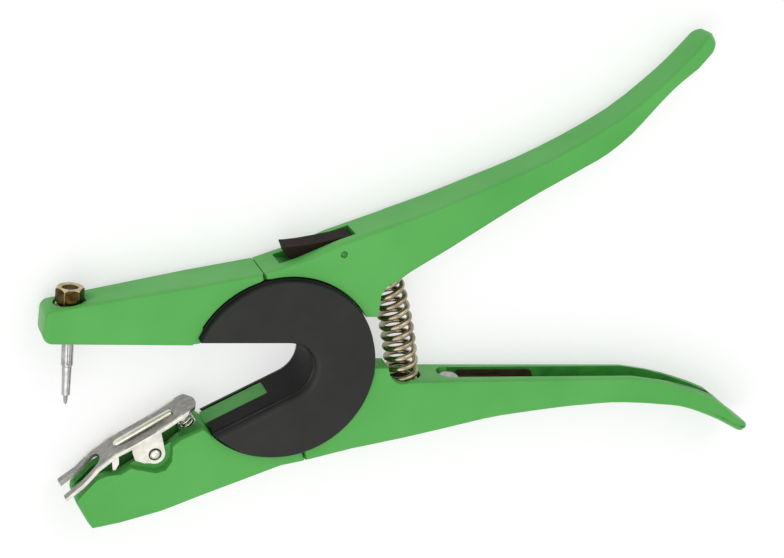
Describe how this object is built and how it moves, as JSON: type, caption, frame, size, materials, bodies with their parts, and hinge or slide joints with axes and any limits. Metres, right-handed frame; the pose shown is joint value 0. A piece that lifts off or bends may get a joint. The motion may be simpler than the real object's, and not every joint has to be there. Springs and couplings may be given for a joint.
{
  "type": "ear tag applicator",
  "caption": "Plier-shaped livestock ear tag applicator: C-shaped open hub, marking pin with a hexagon nut, sprung tag clip, thumb lever and return spring.",
  "frame": {"origin": "on the back face of the far hub plate, halfway between the hub's throat and its rim, to the right of the turning axis", "axes": "+X from the jaws to the handles, +Y from the lower arm to the upper arm, +Z along the turning axis, from the far plate to the black cover"},
  "size_m": [0.2612, 0.1767, 0.0221],
  "materials": {
    "green_paint": "semi-gloss enamel",
    "black_moulding": "fine matt",
    "black_steel": "blackened",
    "bright_steel": "plain stamped or turned",
    "spring_steel": "nickel plated wire",
    "yellow_zinc": "yellow zinc plated",
    "brown_black": "matt"
  },
  "bodies": {
    "frame_arm": {"fixed_casting": "green_paint", "hub_cover": "black_moulding", "throat_bush": "black_moulding", "hub_plate": "black_steel", "hub_bush_1": "bright_steel", "hub_bush_2": "bright_steel", "hub_bush_3": "bright_steel", "hub_screw_1": "black_steel", "hub_screw_2": "black_steel", "hub_screw_3": "black_steel", "applicator_pin": "bright_steel", "pin_washer": "yellow_zinc", "pin_nut": "yellow_zinc", "main_spring": "spring_steel", "pin_retainer": "brown_black", "retainer_screw": "bright_steel", "spare_pin": "bright_steel"},
    "moving_arm": {"moving_casting": "green_paint", "clip_pin": "bright_steel", "clip_pin_ring": "bright_steel", "clip_spring": "spring_steel", "lever_pin": "bright_steel", "lever_spring": "spring_steel"},
    "clip": {"tag_clip": "bright_steel"},
    "lever": {"catch_lever": "brown_black"}
  },
  "joints": [
    {"name": "arms_close", "type": "hinge", "parent": "frame_arm", "child": "moving_arm", "pos_m": [-0.0205, 0, 0.0103], "axis": [0, 0, -1], "range_deg": [0, 24], "stiffness_Nm_per_rad": 6, "springref_deg": -8.59, "deforming": ["main_spring"]},
    {"name": "clip_opens", "type": "hinge", "parent": "moving_arm", "child": "clip", "pos_m": [-0.0596, -0.03122, 0.0103], "axis": [0, 0, -1], "range_deg": [0, 12], "stiffness_Nm_per_rad": 0.05, "springref_deg": -11.46, "deforming": ["clip_spring"]},
    {"name": "lever_press", "type": "hinge", "parent": "moving_arm", "child": "lever", "pos_m": [-0.00479, 0.03981, 0.0103], "axis": [0, 0, 1], "range_deg": [0, 6], "stiffness_Nm_per_rad": 0.01, "springref_deg": -11.46, "deforming": ["lever_spring"]}
  ]
}
